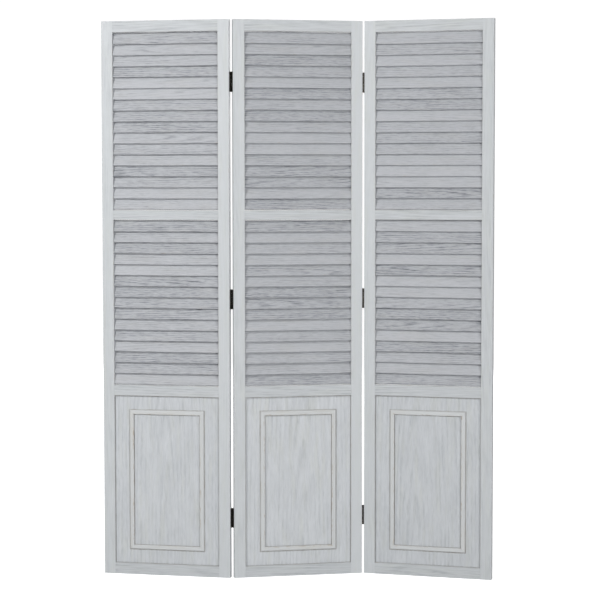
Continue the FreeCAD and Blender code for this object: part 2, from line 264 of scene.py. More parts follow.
def skin(rings: int, around: int) -> tuple[Array, Array]:
    """Return the faces of a tube of rings, closed round, and its two flat ends.

    Args:
        rings: number of rings.
        around: number of points in each ring.

    Returns:
        (n, 4) outward side faces and (2, around) outward end faces.
    """
    ring = np.arange(rings - 1)[:, None] * around
    first = ring + np.arange(around)[None, :]
    second = ring + (np.arange(around) + 1)[None, :] % around
    quads = np.stack([first, second, second + around, first + around], 2).reshape(-1, 4)
    near = np.arange(around)[::-1]
    far = (rings - 1) * around + np.arange(around)
    return quads, np.stack([near, far])


@dataclass(frozen=True)
class Timber:
    """Seeded differences between one length of wood and the next.

    Fields:
        seed: number that fixes every value drawn.
        shift: how far the grain figure may be moved along and across, in metres.
        tone_spread: how much lighter or darker a length may be.
        tone_middle: how light a usual length is.
    """

    seed: int
    shift: tuple[float, float] = (0.35, 0.05)
    tone_spread: float = 0.4
    tone_middle: float = 0.0

    def draw(self, number: int) -> np.random.Generator:
        """Return the generator of one numbered length."""
        return np.random.default_rng((self.seed, number))

    def grain(self, number: int, points: Array) -> tuple[Array, Array]:
        """Return where each point lies in its plank's grain, and how light the plank is.

        Args:
            number: the length's own number.
            points: (n, 3) points in the wood's axes.

        Returns:
            (n, 3) grain places and (n,) tones.
        """
        chance = self.draw(number)
        along, across = chance.uniform(-1, 1, 2) * self.shift
        seed_depth = chance.uniform(1.0, 40.0)
        tone = float(np.clip(chance.normal(self.tone_middle, self.tone_spread), -1, 1))
        return points + (along, across, seed_depth), np.full(len(points), tone)


STILE_TIMBER = Timber(11, (0.6, 0.04), 0.2, 0.3)
RAIL_TIMBER = replace(STILE_TIMBER, tone_middle=-0.8)
SLAT_TIMBER = Timber(23, (0.5, 0.07), 0.7)
BOARD_TIMBER = Timber(37, (0.12, 0.05))
MOULDING_TIMBER = Timber(53)


def carried(loop: Loop, along: Array, inset: Array, eased: Array, timber: Timber, number: int) -> Shell:
    """Carry a section loop along a straight length of wood.

    Point (i, j) is station i along, and the loop's point j drawn in by that station's inset.

    Args:
        loop: the section.
        along: stations in metres.
        inset: how far the section is drawn in at each station.
        eased: True at the stations of an eased end.
        timber: the differences between lengths.
        number: this length's number.

    Returns:
        A closed shell about the wood's own middle.
    """
    outline = np.stack([loop.points(float(value)) for value in inset])
    rings, around = outline.shape[:2]
    places = np.broadcast_to(along[:, None, None], (rings, around, 1))
    points = np.concatenate([places, outline], 2).reshape(-1, 3)
    quads, caps = skin(rings, around)
    corner = loop.rounded & np.roll(loop.rounded, -1)
    easing = eased[:-1] & eased[1:] & (inset[:-1] != inset[1:])
    smooth = (corner[None, :] | easing[:, None]).ravel()
    on_face = inset > loop.radius
    arris = ((loop.rounded[None, :] | eased[:, None]) & ~on_face[:, None]).astype(float).ravel()
    wood, tone = timber.grain(number, points)
    return Shell(points, quads, smooth, caps, wood, arris, np.zeros(len(points)), tone)


def put_in(name: str, shells: list[Shell], place: "PanelPlace") -> bpy.types.Object:
    """Make one mesh object of several closed shells, in the screen's frame.

    Args:
        name: the piece's name.
        shells: its shells, in the panel's axes.
        place: where the panel stands.

    Returns:
        The new object, at the origin, with its place in its mesh.
    """
    starts = np.cumsum([0] + [len(shell.points) for shell in shells[:-1]])
    points = place.to_screen(np.concatenate([shell.points for shell in shells]))
    quads = np.concatenate([shell.quads + start for shell, start in zip(shells, starts)])
    smooth = np.concatenate([shell.smooth for shell in shells])
    caps = [cap + start for shell, start in zip(shells, starts) for cap in shell.caps]
    corners = np.concatenate([quads.ravel(), *caps])
    sizes = np.concatenate([np.full(len(quads), 4), [len(cap) for cap in caps]]).astype(int)
    mesh = bpy.data.meshes.new(name)
    mesh.vertices.add(len(points))
    mesh.vertices.foreach_set("co", points.astype(np.float32).ravel())
    mesh.loops.add(len(corners))
    mesh.loops.foreach_set("vertex_index", corners.astype(np.int32))
    mesh.polygons.add(len(sizes))
    loop_starts = np.concatenate([[0], np.cumsum(sizes)[:-1]])
    mesh.polygons.foreach_set("loop_start", loop_starts.astype(np.int32))
    mesh.polygons.foreach_set("use_smooth", np.concatenate([smooth, np.zeros(len(caps), bool)]))
    mesh.update(calc_edges=True)
    for key in ("wood", "arris", "glaze_and_shade", "tone"):
        values = np.concatenate([getattr(shell, key) for shell in shells]).astype(np.float32)
        kind, slot = ("FLOAT", "value") if values.ndim == 1 else ("FLOAT_VECTOR", "vector")
        attribute = mesh.attributes.new(key, kind, "POINT")
        attribute.data.foreach_set(slot, values.ravel())
    mesh.validate()
    piece = bpy.data.objects.new(name, mesh)
    bpy.context.scene.collection.objects.link(piece)
    return piece


@dataclass(frozen=True)
class PanelPlace:
    """Where one panel stands in the screen's frame.

    Fields:
        name: centre, left or right.
        foot: the middle of the panel's underside, in metres.
        turn: its turn about the upright axis, in radians.
    """

    name: str
    foot: tuple[float, float]
    turn: float

    @property
    def body(self) -> str:
        """Return the CAD body that the panel's pieces ride on."""
        return f"{self.name}_panel"

    def rotation(self) -> Array:
        """Return the matrix whose rows are the panel's axes in the screen's frame."""
        cosine, sine = math.cos(self.turn), math.sin(self.turn)
        return np.array([(cosine, sine, 0), (-sine, cosine, 0), (0, 0, 1)])

    def to_screen(self, points: Array) -> Array:
        """Return points moved from the panel's axes to the screen's frame."""
        return points @ self.rotation() + (*self.foot, 0.0)

    def size_of(self, piece: str) -> tuple[Array, Array]:
        """Return the box of one of the panel's CAD nodes in the panel's own axes.

        Args:
            piece: the node's name after the panel's.

        Returns:
            Its lowest and its highest corner.
        """
        mesh = frame["nodes"][f"{self.body}_{piece}"].data
        points = np.zeros(len(mesh.vertices) * 3, np.float32)
        mesh.vertices.foreach_get("co", points)
        inside = (points.reshape(-1, 3) - (*self.foot, 0.0)) @ self.rotation().T
        return inside.min(0), inside.max(0)


@dataclass(frozen=True)
class Stance:
    """How the three panels stand, read from the record's mounts and joints.

    Fields:
        axis_reach: distance along a panel from its middle to the axis of its seam.
        axis_proud: distance of the seam's axis from the panel's middle plane.
    """

    axis_reach: float = 202.5 * MILLIMETRE
    axis_proud: float = 11.25 * MILLIMETRE

    def places(self) -> list[PanelPlace]:
        """Return where the panels stand.

        A panel's turn is the bearing of a known line on it, less that line's bearing in its own
        axes: foot to seam axis on the outer panels, seam axis to seam axis on the centre one.

        Returns:
            The centre, left and right panels' places.
        """
        mounts, joints = frame["record"]["mounts"], frame["joints"]
        feet = {mount["name"].split("_")[-1]: Vector(mount["pos_m"][:2]) for mount in mounts}
        seams = {joint["child"].split("_")[0]: Vector(joint["pos_m"][:2]) for joint in joints}
        reach, proud = self.axis_reach, self.axis_proud
        lines = {
            "centre": (seams["right"] - seams["left"], Vector((2 * reach, -2 * proud))),
            "left": (seams["left"] - feet["left"], Vector((reach, proud))),
            "right": (seams["right"] - feet["right"], Vector((-reach, -proud))),
        }
        return [
            PanelPlace(name, tuple(feet[name]), math.atan2(seen.y, seen.x) - math.atan2(own.y, own.x))
            for name, (seen, own) in lines.items()
        ]


@dataclass(frozen=True)
class Mottle:
    """Soft noise stretched along the wood and sharpened to a share.

    Fields:
        scale: features to a metre along, across and through the wood.
        span: the two levels of noise between which the share changes.
        share: the share below the span and above it.
        detail: octaves of the noise.
        roughness: strength of each octave against the one before.
    """

    scale: tuple[float, float, float]
    span: tuple[float, float]
    share: tuple[float, float] = (0.0, 1.0)
    detail: float = 3.0
    roughness: float = 0.55


RING_PATCHES = Mottle((7.0, 40.0, 40.0), (0.35, 0.68), (0.15, 1.0), 2.0)
RING_BREAKS = Mottle((38.0, 330.0, 330.0), (0.35, 0.62), (0.25, 1.0))
PORES = Mottle((160.0, 1900.0, 1900.0), (0.56, 0.7), detail=2.0)
WARM_PATCHES = Mottle((9.0, 60.0, 60.0), (0.45, 0.75), (0.0, 0.6), 2.0)
# Patches where the crevices' brown glaze and painted shade are stronger or weaker.
GLAZE_AND_SHADE_POOLS = Mottle((25.0, 120.0, 120.0), (0.3, 0.62), (0.35, 0.9))
BEECH_FLECKS = Mottle((150.0, 1200.0, 1200.0), (0.5, 0.7))
PORE_SHOW = 0.06
PORE_DEPTH = 0.3 * MILLIMETRE
MOST_STREAK = 0.95
MOST_WORN = 0.75
# Roughness of thick paint and of bare streaks.
PAINT_SHEEN = (0.52, 0.7)


class NodeSheet:
    """Adds nodes to one material and wires them."""

    def __init__(self, name: str) -> None:
        """Start an empty material.

        Args:
            name: the material's name.
        """
        self.material = bpy.data.materials.new(name)
        self.material.use_nodes = True
        self.tree = self.material.node_tree
        self.tree.nodes.clear()

    def add(self, kind: str, inputs: dict, **settings: object) -> bpy.types.Node:
        """Add a node.

        Args:
            kind: the node's type name without the ShaderNode prefix.
            inputs: socket name or number to a constant or to another node's output.
            settings: the node's own properties.

        Returns:
            The new node.
        """
        node = self.tree.nodes.new(f"ShaderNode{kind}")
        for key, value in settings.items():
            setattr(node, key, value)
        for key, value in inputs.items():
            if isinstance(value, Socket):
                self.tree.links.new(value, node.inputs[key])
            else:
                node.inputs[key].default_value = value
        return node

    def values(self, attribute: str, output: str = "Fac") -> Socket:
        """Return one of the mesh's own attributes."""
        node = self.add("Attribute", {}, attribute_name=attribute, attribute_type="GEOMETRY")
        return node.outputs[output]

    def spot(self) -> Socket:
        """Return the place in the object's own axes."""
        return self.add("TexCoord", {}).outputs["Object"]

    def scaled(self, vector: Socket, scale: tuple, shift: tuple = (0, 0, 0)) -> Socket:
        """Return a vector scaled about the origin and then shifted."""
        inputs = {"Vector": vector, "Scale": scale, "Location": shift}
        return self.add("Mapping", inputs).outputs["Vector"]

    def noise(self, place: Socket, scale: tuple, detail: float, roughness: float) -> Socket:
        """Return soft noise from 0 to 1 with about so many features to a metre each way."""
        inputs = {"Vector": self.scaled(place, scale), "Scale": 1.0}
        return self.add("TexNoise", inputs | {"Detail": detail, "Roughness": roughness}).outputs["Fac"]

    def mottled(self, vector: Socket, mottle: Mottle) -> Socket:
        """Return a mottle's noise, sharpened to its share."""
        noise = self.noise(vector, mottle.scale, mottle.detail, mottle.roughness)
        return self.ramp(noise, mottle.span, mottle.share)

    def maths(self, operation: str, first: object, second: object) -> Socket:
        """Return the outcome of one sum on two values."""
        return self.add("Math", {0: first, 1: second}, operation=operation).outputs[0]

    def ramp(self, value: object, span: tuple, share: tuple = (0.0, 1.0)) -> Socket:
        """Return a value eased from the first share to the second as it crosses a span."""
        inputs = {0: value, 1: span[0], 2: span[1], 3: share[0], 4: share[1]}
        return self.add("MapRange", inputs, interpolation_type="SMOOTHSTEP").outputs["Result"]

    def tint(self, base: object, over: object, share: object) -> Socket:
        """Return one colour laid over another by a share from 0 to 1."""
        return self.add("Mix", {0: share, 6: base, 7: over}, data_type="RGBA").outputs[2]

    def bump(self, height: object, strength: float, rise: float) -> Socket:
        """Return the normal of a surface that stands up by a rise in metres at height 1."""
        inputs = {"Strength": strength, "Distance": rise, "Height": height}
        return self.add("Bump", inputs).outputs["Normal"]

    def finish(
        self, base: object, roughness: object, normal: object, **more: object
    ) -> bpy.types.Material:
        """Wire the surface shader and return the material.

        Args:
            base: the colour.
            roughness: the roughness.
            normal: the bumped normal.
            more: other inputs of the surface, with underscores for spaces.

        Returns:
            The finished material.
        """
        inputs = {"Base Color": base, "Roughness": roughness, "Normal": normal}
        inputs |= {key.replace("_", " "): value for key, value in more.items()}
        surface = self.add("BsdfPrincipled", inputs)
        self.add("OutputMaterial", {"Surface": surface.outputs["BSDF"]})
        return self.material


def opaque(colour: Colour) -> tuple[float, float, float, float]:
    """Return a colour with full alpha."""
    return (*colour, 1.0)


@dataclass(frozen=True)
class Whitewash:
    """Thin pale paint over open-grained wood.

    Fields:
        slot: the record's material slot, which the material is named after.
        paint, streak: thick paint, and paint that the grain has drunk.
        blush, rubbed, glaze_and_shade: warm patches, bare worn edges, and the dark brown of crevices, partly glaze
            left there and partly painted shade.
        ring_gap, ring_run: metres between growth rings, and their length over their width.
        ring_wander, ring_curl: how far the rings stray, in radians, and how tightly.
        ring_shift: where the heart of the figure lies, in metres along and across.
        fibre_width, fibre_length: size of the fine streaks, in metres.
        ring_show, fibre_show, cloud_show, tone_show: each one's part in the streak colour.
        bold_spread: how much bolder a dark length's grain is than a usual one's.
        wear: share of the edges that is rubbed through.
    """

    slot: str
    paint: Colour
    streak: Colour
    blush: Colour
    rubbed: Colour = (0.36, 0.29, 0.22)
    # Dark brown of the crevices: partly real glaze, partly painted shade that deepens the shadow lines.
    glaze_and_shade: Colour = (0.2, 0.17, 0.14)
    ring_gap: float = 0.007
    ring_run: float = 14.0
    ring_wander: float = 7.0
    ring_show: float = 0.3
    ring_shift: tuple[float, float] = (0.0, 0.0)
    ring_curl: float = 1.3
    fibre_width: float = 0.0022
    fibre_length: float = 0.07
    fibre_show: float = 0.3
    cloud_show: float = 0.05
    tone_show: float = 0.05
    bold_spread: float = 0.0
    wear: float = 0.5

    def rings(self, sheet: NodeSheet, wood: Socket) -> Socket:
        """Return growth rings: long ellipses about the figure's heart, hidden in places.

        Args:
            sheet: the material's nodes.
            wood: the place in the plank's grain.

        Returns:
            Strength of the rings, from 0 to 1.
        """
        pitch = 1.0 / (self.ring_gap * WAVE_TURNS_PER_UNIT)
        scale = (pitch / self.ring_run, pitch, pitch * 0.3)
        along, across = self.ring_shift
        inputs = {
            "Vector": sheet.scaled(wood, scale, (-along * scale[0], -across * scale[1], 0.0)),
            "Scale": 1.0,
            "Distortion": self.ring_wander,
            "Detail": 3.0,
            "Detail Scale": self.ring_curl,
            "Detail Roughness": 0.55,
        }
        settings = {"wave_type": "RINGS", "rings_direction": "Z", "wave_profile": "SIN"}
        wave = sheet.ramp(sheet.add("TexWave", inputs, **settings).outputs["Fac"], (0.35, 1.0))
        shown = sheet.maths("MULTIPLY", wave, sheet.mottled(wood, RING_PATCHES))
        return sheet.maths("MULTIPLY", shown, sheet.mottled(wood, RING_BREAKS))

    def fibres(self, sheet: NodeSheet, wood: Socket) -> Socket:
        """Return fine broken streaks along the wood, from 0 to 1."""
        scale = (1 / self.fibre_length, 1 / self.fibre_width, 1 / self.fibre_width)
        return sheet.mottled(wood, Mottle(scale, (0.38, 0.72), detail=4.0, roughness=0.6))

    @cached_property
    def material(self) -> bpy.types.Material:
        """Return the material, made when it is first asked for.

        A blush tints the paint in patches, streaks show through it where it is thinned, worn edges
        turn brown, and crevices darken with brown glaze and painted shade.

        Returns:
            The material.
        """
        sheet = NodeSheet(self.slot)
        wood = sheet.values("wood", "Vector")
        fibres = self.fibres(sheet, wood)
        pores = sheet.mottled(wood, PORES)
        tone = sheet.values("tone")
        bold = (1.0 + self.bold_spread, 1.0 - self.bold_spread)
        cloud = Mottle((11.0, 42.0, 42.0), (0.3, 0.7), (0.0, self.cloud_show), 4.0, 0.6)
        streaks = sheet.maths("MULTIPLY", self.rings(sheet, wood), self.ring_show)
        streaks = sheet.maths("ADD", streaks, sheet.maths("MULTIPLY", fibres, self.fibre_show))
        streaks = sheet.maths("MULTIPLY", streaks, sheet.ramp(tone, (-0.9, 0.9), bold))
        for more in (
            sheet.maths("MULTIPLY", pores, PORE_SHOW),
            sheet.mottled(wood, cloud),
            sheet.maths("MULTIPLY", tone, -self.tone_show),
        ):
            streaks = sheet.maths("ADD", streaks, more)
        streaks = sheet.add("Clamp", {"Value": streaks, "Max": MOST_STREAK}).outputs[0]
        bare = (0.72 - 0.4 * self.wear, 0.9 - 0.4 * self.wear)
        worn = sheet.mottled(wood, Mottle((45.0, 220.0, 220.0), bare, detail=4.0, roughness=0.65))
        edge = sheet.ramp(sheet.values("arris"), (0.45, 1.0), (0.0, MOST_WORN))
        glaze_and_shade_patches = sheet.mottled(wood, GLAZE_AND_SHADE_POOLS)
        colour = opaque(self.paint)
        for over, share in (
            (self.blush, sheet.mottled(wood, WARM_PATCHES)),
            (self.streak, streaks),
            (self.rubbed, sheet.maths("MULTIPLY", worn, edge)),
            # Crevices darkened by brown glaze and by painted shade.
            (self.glaze_and_shade, sheet.maths("MULTIPLY", glaze_and_shade_patches, sheet.values("glaze_and_shade"))),
        ):
            colour = sheet.tint(colour, opaque(over), share)
        relief = sheet.maths("ADD", sheet.maths("MULTIPLY", fibres, 0.6), pores)
        bump = sheet.bump(sheet.maths("SUBTRACT", 1.0, relief), 0.35, PORE_DEPTH)
        roughness = sheet.ramp(streaks, (0.0, 0.8), PAINT_SHEEN)
        return sheet.finish(colour, roughness, bump, Specular_IOR_Level=0.35)


@dataclass(frozen=True)
class DarkBronze:
    """Satin dark bronze plating, a little uneven, rubbed towards brown.

    Fields:
        name: the material's name.
        plating: the colour of the plating.
        rubbed: where hands and the barrel's turning have polished it.
        grain: size of the cloudy unevenness, in metres.
    """

    name: str
    plating: Colour = (0.012, 0.0105, 0.009)
    rubbed: Colour = (0.18, 0.153, 0.115)
    grain: float = 0.003

    @cached_property
    def material(self) -> bpy.types.Material:
        """Return the material: one noise shares out colour and roughness, one gives bump.

        Returns:
            The material.
        """
        sheet = NodeSheet(self.name)
        spot = sheet.spot()
        cloud = sheet.noise(spot, (1 / self.grain,) * 3, 4.0, 0.6)
        speck = sheet.noise(spot, (9 / self.grain,) * 3, 2.0, 0.55)
        polish = sheet.ramp(cloud, (0.42, 0.75), (0.0, 0.7))
        colour = sheet.tint(opaque(self.plating), opaque(self.rubbed), polish)
        roughness = sheet.ramp(cloud, (0.3, 0.7), (0.48, 0.34))
        return sheet.finish(colour, roughness, sheet.bump(speck, 0.2, 0.00006), Metallic=0.4)


@dataclass(frozen=True)
class BareBeech:
    """Bare beech with short brown flecks, for the dowels in the joints.

    Fields:
        name: the material's name.
        pale: the wood between the flecks.
        fleck: the flecks.
    """

    name: str
    pale: Colour = (0.6, 0.42, 0.26)
    fleck: Colour = (0.42, 0.26, 0.14)

    @cached_property
    def material(self) -> bpy.types.Material:
        """Return the material: stretched noise along the dowel gives flecks and bump.

        Returns:
            The material.
        """
        sheet = NodeSheet(self.name)
        fleck = sheet.mottled(sheet.spot(), BEECH_FLECKS)
        colour = sheet.tint(opaque(self.pale), opaque(self.fleck), fleck)
        return sheet.finish(colour, 0.6, sheet.bump(fleck, 0.3, 0.0002))


FRAME_WASH = Whitewash(
    slot="whitewashed_frame",
    paint=(0.526, 0.547, 0.562),
    streak=(0.25, 0.265, 0.285),
    blush=(0.516, 0.537, 0.527),
    ring_run=22.0,
    ring_wander=5.0,
    ring_show=0.2,
    fibre_width=0.002,
    fibre_show=0.17,
    tone_show=0.06,
    bold_spread=0.8,
    wear=0.45,
)
SLAT_WASH = Whitewash(
    slot="whitewashed_slats",
    paint=(0.43, 0.442, 0.465),
    streak=(0.12, 0.13, 0.148),
    blush=(0.424, 0.43, 0.438),
    ring_gap=0.006,
    ring_run=18.0,
    ring_wander=3.5,
    ring_curl=2.4,
    ring_show=0.44,
    fibre_width=0.002,
    fibre_length=0.022,
    fibre_show=0.32,
    bold_spread=0.4,
    wear=0.3,
)
BOARD_WASH = Whitewash(
    slot="whitewashed_board",
    paint=(0.56, 0.579, 0.6),
    streak=(0.22, 0.24, 0.26),
    blush=(0.54, 0.556, 0.538),
    ring_gap=0.012,
    ring_run=13.0,
    ring_wander=4.5,
    ring_show=0.24,
    ring_shift=(-0.26, 0.012),
    fibre_width=0.0018,
    fibre_length=0.03,
    fibre_show=0.2,
    cloud_show=0.13,
    tone_show=0.06,
    wear=0.3,
)
MOULDING_WASH = Whitewash(
    slot="whitewashed_moulding",
    paint=(0.55, 0.567, 0.573),
    streak=(0.31, 0.31, 0.31),
    blush=(0.535, 0.53, 0.5),
    ring_gap=0.006,
    ring_run=22.0,
    ring_show=0.1,
    fibre_width=0.0016,
    fibre_show=0.1,
    tone_show=0.03,
    wear=0.55,
)


def lying(origin: Array, lie: Lie, tilt: float = 0.0) -> Spot:
    """Return the spot of a length of wood in its panel.

    An upright length runs up, a level one runs to the right. A tilt leans a level length's top
    edge to the back: across is (0, sine, cosine) and out is (0, minus cosine, sine).

    Args:
        origin: the wood's middle in the panel's axes.
        lie: upright or level.
        tilt: lean from upright, in radians.

    Returns:
        The spot.
    """
    if lie is Lie.UPRIGHT:
        return Spot(origin, np.array([(0, 0, 1), (-1, 0, 0), (0, -1, 0)], float))
    cosine, sine = math.cos(tilt), math.sin(tilt)
    return Spot(origin, np.array([(1, 0, 0), (0, sine, cosine), (0, -cosine, sine)]))


def show(part: str, shells: list[Shell], place: PanelPlace, finish: Whitewash) -> None:
    """Make a piece, dress it, hang it on its body and let it stand for its CAD node.

    Args:
        part: the CAD node's name after the panel's.
        shells: the piece's shells, in the panel's axes.
        place: the panel that it belongs to.
        finish: its finish.
    """
    node = f"{place.body}_{part}"
    piece = put_in(f"{node}_wood", shells, place)
    piece.data.materials.append(finish.material)
    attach(piece, place.body)
    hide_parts(node)
    log.info("%s: %d faces", piece.name, len(piece.data.polygons))


OPENING_SIDES = {"left_stile": (-1,), "right_stile": (1,), "top_rail": (-1,), "bottom_rail": (1,)}


@dataclass
class Framework:
    """The stiles and rails of one panel.

    Fields:
        place: where the panel stands.
        arris, margin: rounding of the long edges, and the strip beside it where wear fades.
        spacing: distance between stations along the wood.
        edge_glaze_and_shade: how much glaze and painted shade darken the edges round an opening, from 0 to 1.
        rails: names of the rails.
    """

    place: PanelPlace
    arris: float = 0.5 * MILLIMETRE
    margin: float = 1.4 * MILLIMETRE
    spacing: float = 30 * MILLIMETRE
    edge_glaze_and_shade: float = 0.4
    rails: tuple[str, ...] = ("top_rail", "upper_mid_rail", "lower_mid_rail", "bottom_rail")

    def borders_opening(self, name: str, places: Array, across: float) -> Array:
        """Return 1 at the places across a length that border an opening, else 0."""
        sides = np.array(OPENING_SIDES.get(name, (-1, 1)))[:, None]
        return (places * sides > across / 2 - 2 * self.arris).any(0).astype(float)

    def meets_rail(self, heights: Array) -> Array:
        """Return 1 at the heights over the foot where a stile meets a rail, else 0."""
        spans = [self.place.size_of(rail) for rail in self.rails]
        return np.max([(heights > low[2]) & (heights < high[2]) for low, high in spans], 0) * 1.0

    def length_of_wood(self, name: str, lie: Lie, number: int) -> Shell:
        """Return one stile or rail, sized by its CAD node.

        Args:
            name: the node's name after the panel's.
            lie: upright for a stile, level for a rail.
            number: its number, for the grain.

        Returns:
            The shell in the panel's axes.
        """
        upright = lie is Lie.UPRIGHT
        low, high = self.place.size_of(name)
        size = high - low
        length, across = (size[2], size[0]) if upright else (size[0], size[2])
        stops = edge_stops(across, self.arris, self.margin, np.array([-0.25, 0, 0.25]) * across)
        side_stops = edge_stops(size[1], self.arris, self.margin)
        loop = section_loop(across, size[1], self.arris, stops, side_stops)
        reach = length / 2 - self.arris - 2 * self.margin
        middle = np.linspace(-reach, reach, max(3, round(length / self.spacing)))
        rings = end_rings(length, self.arris if upright else 0.0, self.margin, middle)
        shell = carried(loop, *rings, STILE_TIMBER if upright else RAIL_TIMBER, number)
        inner = self.borders_opening(name, shell.points[:, 1], across)
        if upright:
            shell.arris *= 1.0 - inner * self.meets_rail(shell.points[:, 0] + length / 2)
        # Glaze and painted shade on the edges round an opening, deepening the shadow line beside the recess.
        shell.glaze_and_shade = self.edge_glaze_and_shade * shell.arris * inner
        return shell.placed(lying((low + high) / 2, lie))

    def build(self, first_number: int) -> None:
        """Make the two stiles and the rails.

        Args:
            first_number: number of the first length, so that no two panels share their grain.
        """
        parts = [("left_stile", Lie.UPRIGHT), ("right_stile", Lie.UPRIGHT)]
        parts += [(rail, Lie.LEVEL) for rail in self.rails]
        for step, (name, lie) in enumerate(parts):
            show(name, [self.length_of_wood(name, lie, first_number + step)], self.place, FRAME_WASH)


@dataclass
class Louvre:
    """One bank of fixed slats between two stiles.

    Fields:
        place: where the panel stands.
        bank: upper or lower.
        count, pitch: number of slats, and the distance from slat to slat.
        width, thickness: section of a slat.
        edge: rounding of a slat's long edges.
        margin: distance from a rounding to the first point on the flat.
        tilt: lean of a slat from upright, in radians.
        tilt_error, height_error: usual errors of the lean, in degrees, and of the height.
        sway, bow: how far a slat's edges wander, and its usual bow at the middle.
        housed: how far a slat's end is hidden in its stile.
        stations: number of stations along a slat.
    """

    place: PanelPlace
    bank: str
    count: int
    pitch: float = 33.5 * MILLIMETRE
    width: float = 36.933 * MILLIMETRE
    thickness: float = 6 * MILLIMETRE
    edge: float = 2 * MILLIMETRE
    margin: float = 1.2 * MILLIMETRE
    tilt: float = math.radians(17.795)
    tilt_error: float = 0.35
    height_error: float = 0.22 * MILLIMETRE
    sway: float = 0.16 * MILLIMETRE
    bow: float = 0.2 * MILLIMETRE
    housed: float = 3 * MILLIMETRE
    stations: int = 22

    def slat(self, number: int, length: float) -> tuple[Shell, float, float]:
        """Return one slat about its own middle, with its lean and the height it is out by.

        The edges wander: every point is moved across by two sines of its place along, and
        outwards by a bow that is zero at the ends.

        Args:
            number: the slat's own number.
            length: its length.

        Returns:
            The shell, its tilt in radians and its error of height in metres.
        """
        chance = SLAT_TIMBER.draw(number + 5000)
        inner = np.array([-0.3, -0.15, 0, 0.15, 0.3]) * self.width
        stops = edge_stops(self.width, self.edge, self.margin, inner)
        loop = section_loop(self.width, self.thickness, self.edge, stops, np.zeros(1), steps=4)
        middle = np.linspace(-length / 2, length / 2, self.stations)[1:-1]
        shell = carried(loop, *end_rings(length, 0.0, 0.0, middle), SLAT_TIMBER, number)
        place = shell.points[:, 0] / length
        phase = chance.uniform(0, 2 * math.pi, 2)
        slow = np.sin(2 * math.pi * 1.3 * place + phase[0])
        quick = np.sin(2 * math.pi * 3.1 * place + phase[1])
        shell.points[:, 1] += self.sway * (slow + 0.6 * quick)
        shell.points[:, 2] += chance.normal(0, self.bow) * np.cos(math.pi * place)
        tilt = self.tilt + math.radians(chance.normal(0, self.tilt_error))
        return shell, tilt, chance.normal(0, self.height_error)

    def build(self, first_number: int) -> None:
        """Make the bank as one piece.

        Args:
            first_number: number of its first slat.
        """
        name = f"{self.bank}_slats"
        low, high = self.place.size_of(name)
        length = 2 * (self.housed - self.place.size_of("left_stile")[1][0])
        shells = []
        for step in range(self.count):
            shell, tilt, error = self.slat(first_number + step, length)
            height = (step - (self.count - 1) / 2) * self.pitch + error
            origin = (low + high) / 2 + (0, 0, height)
            shells.append(shell.placed(lying(origin, Lie.LEVEL, tilt)))
        show(name, shells, self.place, SLAT_WASH)


def ring_distance(places: Array, half: Array) -> Array:
    """Return the distances of (n, 2) places from a rectangle's outline about the origin."""
    over = np.abs(places) - half
    return np.abs(np.linalg.norm(np.maximum(over, 0), axis=1) + np.minimum(over.max(1), 0))


